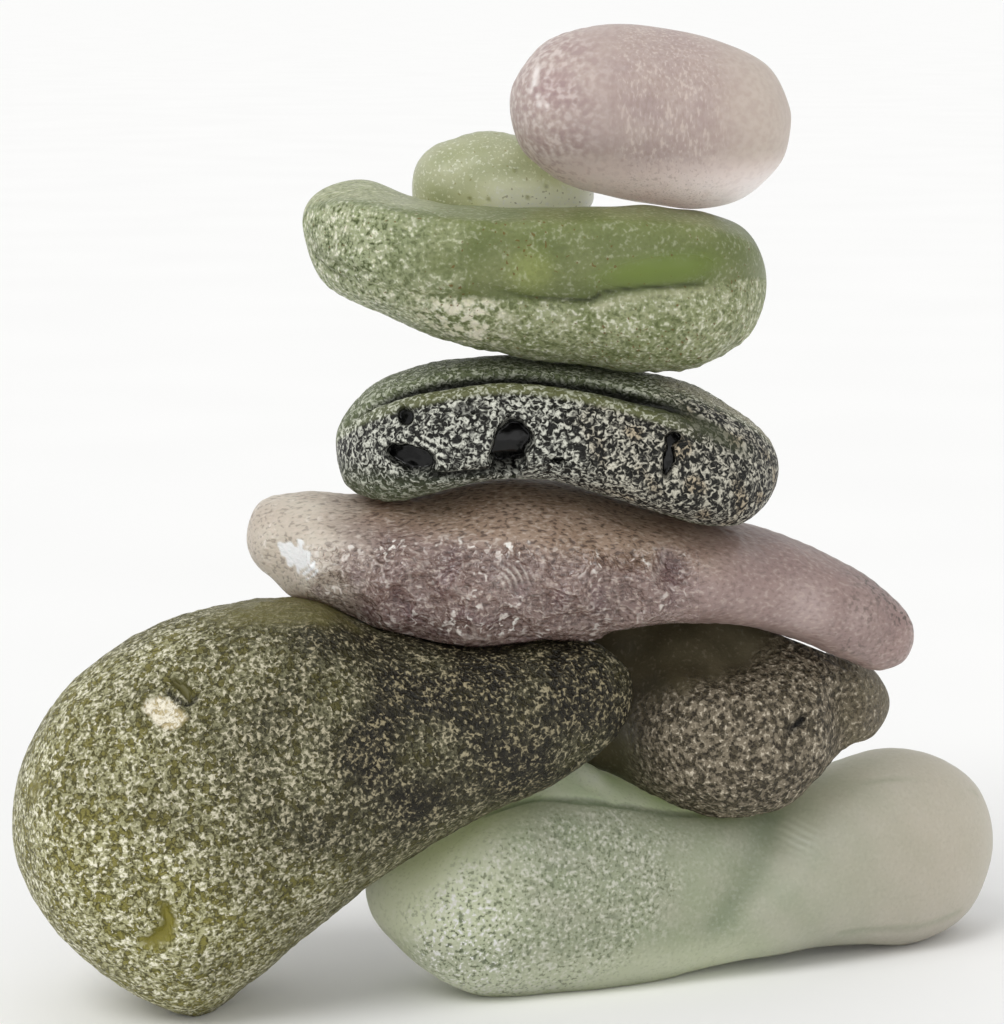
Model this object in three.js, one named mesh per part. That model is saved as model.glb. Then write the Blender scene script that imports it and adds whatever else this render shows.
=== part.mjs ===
// Sea glass cairn: eight beach-worn lumps of melted glass, balanced in a stack. Millimetres.
// +X runs to the right along the front of the stack, +Y away from the viewer and +Z up.
// The origin lies on the ground, under the middle of the stack.
import * as THREE from "three";

// Driving dimensions of the whole stack
const RIM_SAMPLES = 96; // fine steps used to space the sections evenly along a rim
const GROUND = 0; // height of the surface that the two lowest lumps stand on

// Value of the smooth curve through b and c at a share t of the way, with neighbours a and d.
function smoothBetween(a, b, c, d, t) {
  const slopeIn = (c - a) / 2;
  const slopeOut = (d - b) / 2;
  const t2 = t * t;
  const t3 = t2 * t;
  const start = 2 * t3 - 3 * t2 + 1;
  const end = 3 * t2 - 2 * t3;
  return b * start + slopeIn * (t3 - 2 * t2 + t) + c * end + slopeOut * (t3 - t2);
}

// Half depth of a lump at a share v of its length: the values are evenly spaced between the two
// tips, where the depth is nothing and the surface turns over smoothly.
function swell(values, v) {
  const knots = [-values[0], 0, ...values, 0, -values.at(-1)];
  const place = v * (values.length + 1);
  const i = Math.min(Math.floor(place), values.length);
  return smoothBetween(...knots.slice(i, i + 4), place - i);
}

// A line of values read at a share v of its length.
function along(values, v) {
  const knots = [values[0], ...values, values.at(-1)];
  const place = v * (values.length - 1);
  const i = Math.min(Math.floor(place), values.length - 2);
  return smoothBetween(...knots.slice(i, i + 4), place - i);
}

// Points spread evenly along one half of the rim, from the left tip to the right tip.
function halfRim(rim, fromT, toT, stations) {
  const fine = [];
  for (let i = 0; i <= RIM_SAMPLES; i += 1) {
    fine.push(rim.getPoint(THREE.MathUtils.lerp(fromT, toT, i / RIM_SAMPLES)));
  }
  return new THREE.CatmullRomCurve3(fine).getSpacedPoints(stations);
}

// Share of a dent's depth at a distance from its middle. A soft dent fades out, a chip has a crisp rim.
function dentShare(distance, { radius, crisp }) {
  const fall = Math.max(0, 1 - (distance / radius) ** 2);
  return crisp ? fall : fall * fall;
}

// Share of a groove's depth on the surface at share v of the length and at that angle round the section.
function grooveShare(v, degrees, { from, to, angles, width }) {
  if (v < from || v > to) return 0;
  const run = (v - from) / (to - from);
  const across = (THREE.MathUtils.euclideanModulo(degrees - along(angles, run) + 180, 360) - 180) / width;
  return Math.sin(Math.PI * run) * Math.exp(-across * across);
}

// A tumbled lump. Its rim is a closed smooth curve through hand-placed points: the left tip first, over
// the top to the right tip, and back underneath. A section joins the rim's upper and lower halves
// and swells to the front and the back. Angles round a section run from 0 at the top through 90 at
// the front and 180 underneath. Dents and grooves sink towards the section's middle, and those of
// negative depth rise from it.
function lumpGeometry({ rim, rightTip, front, back, fullness, mesh, dents = [], grooves = [] }) {
  const { stations, around } = mesh;
  const curve = new THREE.CatmullRomCurve3(
    rim.map((p) => new THREE.Vector3(...p)),
    true,
    "catmullrom",
    0.5,
  );
  const turn = rightTip / rim.length;
  const upper = halfRim(curve, 0, turn, stations);
  const lower = halfRim(curve, 1, turn, stations);
  const full = (share) => Math.sign(share) * Math.abs(share) ** fullness;
  const points = [];

  for (let s = 1; s < stations; s += 1) {
    const v = s / stations;
    const middle = upper[s].clone().add(lower[s]).multiplyScalar(0.5);
    const half = upper[s].clone().sub(middle);
    for (let k = 0; k < around; k += 1) {
      const angle = (2 * Math.PI * k) / around;
      const degrees = THREE.MathUtils.radToDeg(angle);
      const toFront = full(Math.sin(angle));
      const depth = toFront > 0 ? swell(front, v) : swell(back, v);
      const spoke = half.clone().multiplyScalar(full(Math.cos(angle)));
      spoke.y -= toFront * depth;
      const point = middle.clone().add(spoke);
      let sink = 0;
      for (const dent of dents) {
        sink += dent.depth * dentShare(point.distanceTo(new THREE.Vector3(...dent.at)), dent);
      }
      for (const groove of grooves) sink += groove.depth * grooveShare(v, degrees, groove);
      point.addScaledVector(spoke.normalize(), -sink);
      point.z = Math.max(point.z, GROUND);
      points.push(point);
    }
  }
  const leftPole = points.push(upper[0].clone()) - 1;
  const rightPole = points.push(upper[stations].clone()) - 1;
  const lastRing = (stations - 2) * around;
  const faces = [];
  for (let k = 0; k < around; k += 1) {
    const next = (k + 1) % around;
    faces.push(leftPole, next, k);
    for (let here = 0; here < lastRing; here += around) {
      const there = here + around;
      faces.push(here + k, here + next, there + k);
      faces.push(here + next, there + next, there + k);
    }
    faces.push(rightPole, lastRing + k, lastRing + next);
  }
  const geometry = new THREE.BufferGeometry().setFromPoints(points);
  geometry.setIndex(faces);
  geometry.computeVertexNormals();
  return geometry;
}

// Pale aqua base: a long blocky lump lying on the ground, turned with its right end further back.
// A soft crease across the front parts its frosted left half from its smooth right half, and the
// top sags to a saddle between them.
const aquaBase = {
  name: "aqua_base",
  colour: 0xb3c0ae,
  rim: [
    [-11.9, -5, 8], [-11.1, -4.8, 9.1], [-7.1, -3.6, 11.4], [-1.9, -1.6, 14.4], [4.2, 1.4, 15.8],
    [10.4, 3.4, 13.5], [16.7, 5, 12.4], [23, 8, 14], [28.3, 10.6, 15.1], [32.8, 12.4, 14.2],
    [36.4, 13.8, 11.4], [37.7, 14.2, 7.4], [36.9, 13.8, 3.9], [34.9, 13, 1.3], [31, 11.4, -0.2],
    [25.7, 9.2, 0.4], [20, 6.6, 0.5], [14.5, 4.2, 0.1], [9, 2, -0.6], [2.7, 0, -0.8],
    [-3.4, -2.1, -0.3], [-7.9, -3.6, 2.4], [-10.9, -4.6, 5.4],
  ],
  rightTip: 11,
  front: [6, 7.6, 7.6, 7, 7.4, 7.2, 5.4],
  back: [6, 7.6, 8, 8, 8, 7.4, 5.4],
  fullness: 0.8,
  mesh: { stations: 26, around: 22 },
  dents: [
    { at: [20.3, 0.4, 12.6], radius: 4, depth: 0.9 },
    { at: [18.1, -1.4, 10], radius: 4.2, depth: 1 },
    { at: [15.9, -2.4, 7.4], radius: 3.6, depth: 0.6 },
  ],
};

// Olive club: the largest lump. Its fat end stands on the ground and its narrow end lies on the base.
const oliveClub = {
  name: "olive_club",
  colour: 0x6b6a4a,
  rim: [
    [-37.7, -8, 14.1], [-36.7, -7.9, 19.2], [-33.4, -7.6, 24.4], [-27.5, -7.1, 28.4], [-21.7, -6.6, 30.1],
    [-15.8, -6.1, 30.4], [-12.9, -5.9, 29.3], [-10, -5.6, 27.9], [-4.1, -5, 26.9], [1.9, -4.5, 27],
    [5.9, -4.2, 26.3], [8, -4, 23.8], [6.9, -4.1, 19.8], [2.6, -4.5, 16.6], [-2.6, -4.9, 14.4],
    [-7.8, -5.4, 11.5], [-12.3, -5.8, 8.5], [-16.3, -6.1, 5.2], [-20.2, -6.4, 1.9], [-24.6, -6.8, -0.5],
    [-29.8, -7.3, 2.1], [-33.8, -7.7, 5.6], [-36.8, -7.9, 10],
  ],
  rightTip: 11,
  front: [9, 11.5, 11, 8.5, 6],
  back: [9, 11.5, 11, 8.5, 6],
  fullness: 0.95,
  mesh: { stations: 26, around: 22 },
};

// Brown lump: a low knobbly stone behind the olive club. A fat lobe hangs over the base at the front,
// and a crease parts it from the knob at the right end.
const brownLump = {
  name: "brown_lump",
  colour: 0x665c50,
  rim: [
    [1.7, 7, 20.5], [2.7, 6.8, 24.6], [6.3, 6, 27.3], [11.1, 5.4, 28.1], [15.5, 5.4, 28], [19.9, 5.6, 26.7],
    [24, 5.8, 24.8], [26.9, 5.9, 22.9], [28.3, 6, 20.2], [27.1, 5.4, 17.8], [24.7, 4.2, 17],
    [22.4, 3, 15], [19.8, 2.2, 13], [16.3, 1.5, 12.6], [12, 2, 13.4], [7.9, 3.8, 14.8], [3.9, 6, 16.6],
  ],
  rightTip: 8,
  front: [4, 6.5, 7.5, 7, 4],
  back: [4, 6, 6.5, 6, 4],
  fullness: 0.95,
  mesh: { stations: 22, around: 22 },
  dents: [
    { at: [24.3, 0.5, 21], radius: 3, depth: 1.3 },
    { at: [24.3, 0.5, 18], radius: 3, depth: 1 },
    { at: [8.3, 0.5, 24], radius: 6.5, depth: 2 },
    { at: [15.3, -0.5, 26], radius: 5.5, depth: 1.6 },
    { at: [6.9, 0.5, 17.5], radius: 4.5, depth: 1.2 },
  ],
};

// Lilac shard: a long curved sliver laid across the two lumps, chipped along its lower front edge.
const lilacShard = {
  name: "lilac_shard",
  colour: 0xa08f95,
  rim: [
    [-20.8, -1, 34.4], [-19.8, -0.7, 36.9], [-16.8, -0.4, 37.5], [-12.3, -0.2, 37.3], [-7.1, 0, 37.5],
    [-1.8, 0.2, 38.5], [3.4, 0.5, 38], [8.7, 0.8, 36.6], [13.2, 1, 35.6], [17.8, 1.3, 34.5],
    [22.3, 1.6, 32.7], [26.3, 1.8, 30.5], [28.9, 2, 28.2], [29.6, 2, 26], [28.7, 1.9, 24.1],
    [26.4, 1.8, 23.6], [23.6, 1.2, 24.9], [20.1, 0.4, 26.4], [15.6, -1, 27.8], [11, -2.4, 28.2],
    [5.6, -3.4, 27.7], [-0.3, -4, 27.3], [-5.6, -4.2, 27.2], [-9.4, -4, 27.8], [-13.4, -3.4, 29.5],
    [-17.1, -2.4, 30.5], [-20, -1.6, 32.3],
  ],
  rightTip: 13,
  front: [5, 7, 7.5, 7.5, 7, 5.5, 4],
  back: [5, 8, 9, 9, 8, 6, 4],
  fullness: 0.95,
  mesh: { stations: 34, around: 24 },
  dents: [
    { at: [-18.1, -5.6, 32.6], radius: 2.6, depth: 0.6, crisp: true },
    { at: [-13.1, -8.4, 30.2], radius: 3.2, depth: 0.8, crisp: true },
    { at: [-7.1, -9.6, 29.6], radius: 3.6, depth: 0.9, crisp: true },
    { at: [-0.3, -9.6, 29.8], radius: 3.4, depth: 0.8, crisp: true },
    { at: [5.7, -8.8, 30], radius: 3.2, depth: 0.7, crisp: true },
    { at: [11.3, -7.6, 31.4], radius: 2.8, depth: 0.5, crisp: true },
  ],
};

// Pitted stone: an arched dark lump with a flat pitted face and a groove along its upper lip.
const pittedStone = {
  name: "pitted_stone",
  colour: 0x6a6c64,
  rim: [
    [-14.1, 0, 40.7], [-13.6, 0, 43], [-11.2, 0, 45.6], [-7.1, 0, 47.1], [-2.1, 0, 47.6], [2.6, 0, 47.3],
    [7.1, 0, 46.7], [11.6, 0, 45.8], [15.3, 0, 44], [18.2, 0, 41.6], [19, 0, 39.2], [18, -1, 36.9],
    [15.8, -2, 35.5], [12.4, -2.4, 35.8], [8.6, -2.6, 37], [4.1, -2.6, 38.5], [0.4, -2.6, 39.2],
    [-3.3, -2.6, 39], [-7.1, -2.6, 37.9], [-10.5, -2, 37.3], [-13.2, -1, 38.2],
  ],
  rightTip: 10,
  front: [5, 7.6, 8, 8, 7.6, 5],
  back: [5, 8, 9, 9, 8, 5],
  fullness: 0.85,
  mesh: { stations: 40, around: 34 },
  grooves: [{ from: 0.02, to: 0.92, angles: [45, 46, 47, 52, 68], width: 7, depth: 1.1 }],
  dents: [
    { at: [-0.9, -8.9, 41.6], radius: 2.2, depth: 1.6, crisp: true },
    { at: [-8.7, -7.8, 40.4], radius: 2, depth: 1, crisp: true },
    { at: [10.9, -8.4, 40.2], radius: 1.4, depth: 0.9, crisp: true },
  ],
};

// Green dish: a thick boat-shaped piece, hollowed on top and creased along its front.
const greenDish = {
  name: "green_dish",
  colour: 0x8d9a70,
  rim: [
    [-16.4, 0, 57.1], [-15.7, -0.2, 59.2], [-12.9, -1, 60.2], [-8.5, -2, 59.7], [-3.3, -2.6, 59.3],
    [1.9, -2.6, 59.3], [7.1, -2.2, 59.4], [11.5, -1.2, 59], [15.1, 0.2, 57.9], [17.1, 1, 56.2],
    [18, 1, 53.3], [17.3, 0.6, 50.4], [15.2, 0, 48.3], [12.4, -0.6, 47.1], [8.6, -1, 46.8],
    [4.1, -1, 47.3], [-0.4, -1, 47.9], [-5.6, -0.8, 49.1], [-10.8, -0.6, 51.2], [-14.8, -0.2, 53.3],
  ],
  rightTip: 10,
  front: [6, 7.6, 7.6, 7.6, 7.6, 6],
  back: [6, 9, 11, 11, 9, 6],
  fullness: 0.85,
  mesh: { stations: 28, around: 26 },
  grooves: [
    { from: 0.16, to: 0.92, angles: [-34, -36, -36, -34], width: 26, depth: 3.4 },
    { from: 0.02, to: 0.98, angles: [125, 115, 97, 92, 84, 82], width: 6, depth: 0.6 },
  ],
  dents: [{ at: [-11.7, 3, 59.6], radius: 4.5, depth: -1.4 }],
};

// Rear pebble: a small pale green pebble in the back of the dish.
const rearPebble = {
  name: "rear_pebble",
  colour: 0xb4bb98,
  rim: [
    [-8.5, 5.8, 59.9], [-8, 5.8, 61.9], [-6.2, 5.8, 63.3], [-2.8, 5.8, 64.1], [0.4, 5.8, 63.6],
    [3.5, 5.8, 62], [5.2, 5.8, 59.8], [4.6, 5.8, 58], [1.6, 5.8, 57.1], [-1.9, 5.8, 56.9],
    [-5.7, 5.8, 57.2], [-8, 5.8, 58.3],
  ],
  rightTip: 6,
  front: [3, 4, 4, 3],
  back: [3, 4, 4, 3],
  fullness: 1,
  mesh: { stations: 14, around: 14 },
};

// Cap pebble: a lilac capsule on top of the stack.
const capPebble = {
  name: "cap_pebble",
  colour: 0xb5a7a5,
  rim: [
    [-1.1, -0.4, 65.8], [-0.7, -0.4, 68.3], [1.7, -0.2, 71.1], [5.9, 0, 72.2], [10.3, 0.2, 71.9],
    [14.4, 0.2, 71], [17.8, 0.2, 69.2], [19.4, 0.2, 66.4], [19.5, 0.2, 64.5], [18.8, 0.2, 62],
    [16.2, 0.2, 59.6], [12.7, 0.2, 58.7], [8.6, 0.2, 59.2], [4.8, 0, 60], [2, -0.2, 61.1],
    [-0.2, -0.4, 63.1],
  ],
  rightTip: 8,
  front: [4.8, 6.4, 6.7, 6.4, 4.8],
  back: [4.8, 6.4, 6.7, 6.4, 4.8],
  fullness: 1,
  mesh: { stations: 18, around: 18 },
};

const cairn = new THREE.Group();
cairn.name = "sea_glass_cairn";
const lumps = [aquaBase, oliveClub, brownLump, lilacShard, pittedStone, greenDish, rearPebble, capPebble];
for (const lump of lumps) {
  const frosted = new THREE.MeshStandardMaterial({ color: lump.colour, roughness: 0.6, metalness: 0 });
  const mesh = new THREE.Mesh(lumpGeometry(lump), frosted);
  mesh.name = lump.name;
  cairn.add(mesh);
}

export default cairn;
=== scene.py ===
import bpy
import numpy as np
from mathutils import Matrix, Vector


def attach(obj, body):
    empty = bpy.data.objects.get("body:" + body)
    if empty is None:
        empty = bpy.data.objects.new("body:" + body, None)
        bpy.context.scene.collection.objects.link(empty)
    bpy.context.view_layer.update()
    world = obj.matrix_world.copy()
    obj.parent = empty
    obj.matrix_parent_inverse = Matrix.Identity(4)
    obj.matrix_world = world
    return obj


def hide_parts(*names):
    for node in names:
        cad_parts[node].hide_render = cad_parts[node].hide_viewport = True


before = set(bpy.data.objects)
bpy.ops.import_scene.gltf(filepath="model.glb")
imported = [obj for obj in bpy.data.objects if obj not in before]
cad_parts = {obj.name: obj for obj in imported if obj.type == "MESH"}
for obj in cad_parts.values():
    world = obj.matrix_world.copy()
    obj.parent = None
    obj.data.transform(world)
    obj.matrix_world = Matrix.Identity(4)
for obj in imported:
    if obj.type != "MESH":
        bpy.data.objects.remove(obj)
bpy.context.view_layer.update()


# Aqua base: a long blocky lump of pale aqua glass, tumbled by the sea until its skin is frosted. It
# lies on the ground with its right end further back. A crease across the front parts its sparkling
# left half from its smooth right half, and its top left is a clear fracture above a sharp edge.
def smooth_loop(points, place):
    """Smooth curve through a closed row of points: between two of them it is the cubic that leaves
    each along the chord of its neighbours. The place counts in points from the first."""
    points = np.asarray(points, float)
    step = np.floor(place).astype(int)
    t = (place - step)[..., None]
    a, b, c, d = (points[(step + k) % len(points)] for k in (-1, 0, 1, 2))
    bend = a - 2.5 * b + 2 * c - 0.5 * d
    twist = 1.5 * (b - c) + 0.5 * (d - a)
    return b + t * (0.5 * (c - a) + t * (bend + t * twist))


def half_rim(rim, start, end, stations):
    """Points spread evenly by length along a rim, from one of its points to another."""
    fine = smooth_loop(rim, np.linspace(start, end, 900))
    run = np.append(0, np.cumsum(np.linalg.norm(np.diff(fine, axis=0), axis=1)))
    even = np.linspace(0, run[-1], stations + 1)
    return np.stack([np.interp(even, run, fine[:, axis]) for axis in range(3)], axis=1)


def swell(values, v):
    """Half depth at a share v of the length: a smooth curve through evenly spaced values, which
    starts and ends at nothing and goes through the tips without a corner."""
    knots = np.array([-values[0], 0, *values, 0, -values[-1]])[:, None]
    return smooth_loop(knots, 1 + v * (len(values) + 1))[..., 0]


def lump(rim, front, back, right_tip, power, stations, around):
    """A tumbled lump in millimetres, as sections along its length. Each section joins the upper and
    the lower half of the rim and swells to the front and back as a rounded box: the cosine and sine
    of the angle, raised to a power, squarer the lower it is. Angles run from 0 at the top through 90
    at the front. Gives the surface, the unit spoke from the section's middle to each point, the
    share v of the length and the angle in degrees."""
    upper = half_rim(rim, 0, right_tip, stations)
    lower = half_rim(rim, len(rim), right_tip, stations)
    v = np.linspace(0, 1, stations + 1)[:, None]
    angle = np.linspace(0, 2 * np.pi, around, endpoint=False)[None, :]
    high, near = (np.sign(s) * np.abs(s) ** power for s in (np.cos(angle), np.sin(angle)))
    middle = (upper + lower) / 2
    spoke = (upper - middle)[:, None, :] * high[..., None]
    spoke[..., 1] -= near * np.where(near > 0, swell(front, v), swell(back, v))
    surface = middle[:, None, :] + spoke
    spoke = spoke / np.maximum(np.linalg.norm(spoke, axis=-1, keepdims=True), 1e-9)
    return surface, spoke, v + 0 * angle, np.degrees(angle) + 0 * v


def held(mask):
    """A mask held between 0 and 1."""
    return np.clip(mask, 0, 1)


def fade(value, low, high):
    """0 up to low, 1 from high and a smooth cubic step between. With high under low it falls."""
    t = held((value - low) / (high - low))
    return t * t * (3 - 2 * t)


def dent(surface, middle, radius, sharp=False):
    """Share of a round dent's depth: it falls from 1 at the middle as one less the square of the
    distance, and a soft dent as the square of that."""
    fall = np.maximum(0, 1 - (np.linalg.norm(surface - np.array(middle), axis=-1) / radius) ** 2)
    return fall if sharp else fall**2


def dents(surface, rows, sharp=False):
    """Depth of many dents together, each given as its depth, middle and radius. A bump is a dent of
    negative depth."""
    return sum(depth * dent(surface, middle, radius, sharp) for depth, middle, radius in rows)


def wave(run, pitch):
    """A sine wave along a run of millimetres, one turn to each pitch."""
    return np.sin(2 * np.pi * run / pitch)


def trail(surface, path, width):
    """A bell across the distance to a smooth open line of points: 1 on it and 0 two widths away."""
    knots = [path[0], *path, path[-1]]
    line = smooth_loop(knots, np.linspace(1, len(path), 16 * len(path)))
    square = np.minimum.reduce([np.sum((surface - point) ** 2, axis=-1) for point in line])
    return np.exp(-square / width**2)


def ripple(surface, length, seed):
    """Smooth random heights, mostly within 1 of nothing: plane waves of one length in random
    directions, added up."""
    chance = np.random.default_rng(seed)
    ways = chance.normal(size=(3, 24))
    ways *= 2 * np.pi / length / np.linalg.norm(ways, axis=0)
    return np.sin(surface @ ways + chance.uniform(0, 2 * np.pi, 24)).sum(axis=-1) / 24**0.5


def stone(name, surface, marks, glass):
    """A closed mesh over a lump's sections, with one point for each tip and nothing below the ground,
    which takes the place of the solid of the same name. Each mark is a mask over the sections that
    the glass reads by its name."""
    surface[..., 2] = np.maximum(surface[..., 2], 0)
    points = np.concatenate([surface[:1, 0], surface[1:-1].reshape(-1, 3), surface[-1:, 0]]) / 1000
    last, around = len(points) - 1, surface.shape[1]
    ring = 1 + np.arange(around)
    beside = np.roll(ring, -1)
    rows = around * np.arange(surface.shape[0] - 3)[:, None]
    sides = np.stack([rows + ring, rows + beside, rows + around + beside, rows + around + ring], axis=-1)
    left = np.stack([0 * ring, beside, ring], axis=-1)
    right = np.stack([0 * ring + last, last - 1 - around + ring, last - 1 - around + beside], axis=-1)
    mesh = bpy.data.meshes.new(name)
    faces = sides.reshape(-1, 4).tolist() + left.tolist() + right.tolist()
    mesh.from_pydata(points.tolist(), [], faces)
    mesh.polygons.foreach_set("use_smooth", np.ones(len(faces), bool))
    for mark, mask in marks.items():
        values = np.concatenate([mask[:1, 0], mask[1:-1].ravel(), mask[-1:, 0]])
        mesh.attributes.new(mark, "FLOAT", "POINT").data.foreach_set("value", values)
    mesh.materials.append(glass)
    piece = bpy.data.objects.new(name + "_glass", mesh)
    bpy.context.scene.collection.objects.link(piece)
    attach(piece, "root")
    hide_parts(name)


class Flow:
    """A value on its way through a material. Sums and products of values add Math nodes, and node
    adds any other kind: its settings are set first and then its sockets are filled or linked."""

    def __init__(self, tree, socket=None):
        self.tree = tree
        self.socket = socket

    def node(self, kind, settings, sockets, out=0):
        made = self.tree.nodes.new(kind)
        for key, value in settings.items():
            setattr(made, key, value)
        for key, value in sockets.items():
            if isinstance(value, Flow):
                self.tree.links.new(value.socket, made.inputs[key])
            else:
                made.inputs[key].default_value = value
        return Flow(self.tree, made.outputs[out] if made.outputs else None)

    def maths(self, operation, first, second):
        return self.node("ShaderNodeMath", {"operation": operation}, {0: first, 1: second})

    def __add__(self, other):
        return self.maths("ADD", self, other)

    def __radd__(self, other):
        return self.maths("ADD", other, self)

    def __sub__(self, other):
        return self.maths("SUBTRACT", self, other)

    def __rsub__(self, other):
        return self.maths("SUBTRACT", other, self)

    def __mul__(self, other):
        return self.maths("MULTIPLY", self, other)

    def __rmul__(self, other):
        return self.maths("MULTIPLY", other, self)

    def __abs__(self):
        return self.maths("ABSOLUTE", self, 0.0)


def shade(red, green, blue):
    """Linear colour of a tint given as the eye sees it, 0 to 255."""
    seen = np.array([red, green, blue]) / 255
    return (*np.where(seen <= 0.04045, seen / 12.92, ((seen + 0.055) / 1.055) ** 2.4), 1.0)


def ramp(value, low, high):
    """0 below low, 1 above high, and a smooth step between. With high under low it falls."""
    sockets = {0: value, 1: low, 2: high}
    return value.node("ShaderNodeMapRange", {"interpolation_type": "SMOOTHSTEP"}, sockets)


def tinted(mask, bare, covered):
    """The bare colour where the mask is 0 and the covered one where it is 1."""
    return mask.node("ShaderNodeMix", {"data_type": "RGBA"}, {0: mask, 6: bare, 7: covered}, 2)


def grains(place, size, detail=1.5, swirl=0.0):
    """Cloudy grains of about that size in millimetres, as a value near a half."""
    sockets = {"Vector": place, "Scale": 1000 / size, "Detail": detail, "Distortion": swirl}
    return place.node("ShaderNodeTexNoise", {}, sockets)


def curls(cloudy, level, width):
    """Curled hair lines: 1 where a cloudy value is at the level and 0 from a width away."""
    return ramp(abs(cloudy - level), width, 0.0)


def blank_material(name):
    """An empty material and the place on the surface that its grains read."""
    glass = bpy.data.materials.new(name)
    glass.use_nodes = True
    glass.node_tree.nodes.clear()
    return glass, Flow(glass.node_tree).node("ShaderNodeTexCoord", {}, {}, "Object")


def marked(place, *names):
    """The masks of those names that the mesh carries."""
    return [place.node("ShaderNodeAttribute", {"attribute_name": name}, {}, "Fac") for name in names]


def finish_glass(colour, rough, height, depth, **plain):
    """Ends a material: colour, roughness and the height of its grain, depth in millimetres, with
    plain values for how far light goes into it."""
    grain = {"Height": height, "Distance": depth / 1000, "Strength": 1.0}
    normal = colour.node("ShaderNodeBump", {}, grain)
    sockets = {"Base Color": colour, "Roughness": rough, "Normal": normal}
    sockets |= {"IOR": 1.5, "Specular IOR Level": 0.3}
    sockets |= {key.replace("_", " "): value for key, value in plain.items()}
    skin = colour.node("ShaderNodeBsdfPrincipled", {}, sockets)
    colour.node("ShaderNodeOutputMaterial", {}, {"Surface": skin})


aqua_rim = [
    [-11.9, -5, 8], [-11.1, -4.8, 9.1], [-7.1, -3.6, 11.4], [-1.9, -1.6, 14.4], [4.2, 1.4, 15.8],
    [10.4, 3.4, 13.5], [16.7, 5, 12.4], [23, 8, 14], [28.3, 10.6, 15.1], [32.8, 12.4, 14.2],
    [36.4, 13.8, 11.4], [37.7, 14.2, 7.4], [36.9, 13.8, 3.9], [34.9, 13, 1.3], [31, 11.4, -0.2],
    [25.7, 9.2, 0.4], [20, 6.6, 0.5], [14.5, 4.2, 0.1], [9, 2, -0.6], [2.7, 0, -0.8],
    [-3.4, -2.1, -0.3], [-7.9, -3.6, 2.4], [-10.9, -4.6, 5.4],
]
aqua_front = [6, 7.6, 7.6, 7, 7.4, 7.2, 5.4]
aqua_back = [6, 7.6, 8, 8, 8, 7.4, 5.4]
aqua, spokes, *_ = lump(
    aqua_rim, aqua_front, aqua_back, right_tip=11, power=0.8, stations=260, around=180
)
x, y, z = np.moveaxis(aqua, -1, 0)
# The sparkle fills an oval on the front, tilted by 18 degrees.
uphill = 0.951 * (x - 1.5) + 0.309 * (z - 7)
across = 0.951 * (z - 7) - 0.309 * (x - 1.5)
sparkle = np.hypot(uphill / 10, across / 6.3) + 0.05 * ripple(aqua, 2.5, 1)
sparkle = fade(sparkle, 1.18, 0.84) * fade(y, 2, 0)
# The clear fracture lies above a plane that leans back along the sharp edge.
above_edge = 0.5 * (y + 3.77 - 0.42 * (x - 0.62)) + 0.87 * (z - 14.84 + 0.186 * (x - 0.62))
clear = fade(above_edge, -0.1, 0.2) * fade(x, 16, 12) * fade(x, -9, -6) * fade(y, 7, 4)
edge_path = [(-3, -4.4, 14), (0.6, -3.8, 14.8), (3.8, -3.7, 14.6), (7.3, -2, 13.9), (13.4, 1.2, 12.4)]
edge = trail(aqua, edge_path, 0.3)
valley_path = [(19.2, 2.6, 12.2), (18, 0.2, 9.9), (17.2, -0.8, 8.3), (15.8, -2, 6.3), (14.6, -2.6, 4.6)]
valley = trail(aqua, valley_path, 1.3)
shell = dent(aqua, (20.9, 1.2, 10.8), 2.4)
shell_pitch = 0.5
shell_waves = shell * wave(0.93 * z + 0.37 * x, shell_pitch)
seam = trail(aqua, [(22.5, 3.4, 14.3), (28.6, 6.2, 13.9), (32.5, 9, 13), (35.9, 11.7, 11.5)], 0.28)
foot = trail(aqua, [(24.5, 2.6, 2.5), (26.6, 3.7, 2.6), (30.8, 5.9, 2.3), (34.5, 8.6, 2.6)], 0.35)
saddle = [(0.9, (20.3, 0.4, 12.6), 4), (1, (18.1, -1.4, 10), 4.2), (0.6, (15.9, -2.4, 7.4), 3.6)]
crown = [(-0.7, (3.5, 1.5, 15.9), 3.6)]
chips = [(0.3, (5, -1.2, 15.1), 1.2), (0.3, (6.6, -1.5, 14.5), 1)]
sink = dents(aqua, saddle + crown) + dents(aqua, chips, sharp=True)
sink += 0.35 * valley + 0.25 * edge + 0.06 * shell_waves + 0.14 * seam + 0.15 * foot
sink += 0.07 * ripple(aqua, 5, 2) + 0.025 * (0.3 + sparkle) * ripple(aqua, 1.1, 3)
aqua -= sink[..., None] * spokes
aqua_marks = {
    "sparkle": sparkle,
    "bright": sparkle * dent(aqua, (-4.5, -9, 5), 7),
    "clear": clear,
    "warm": fade(x, 19, 34),
    "right": fade(x, 15, 20),
    "valley": held(valley + 0.5 * seam + 0.5 * foot),
    "edge": edge * (1 - fade(x, 11, 15)),
    "glint": held(shell * (0.5 + 0.5 * wave(0.93 * z + 0.37 * x, shell_pitch))),
    "lit": held(fade(z, 5, 0.5) * fade(x, 24, 14) + fade(x, 3, -6) * fade(z, 3, 7) * fade(y, 0, -3)),
    "cloud": 0.5 + 0.3 * ripple(aqua, 3.5, 4),
}

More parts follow.
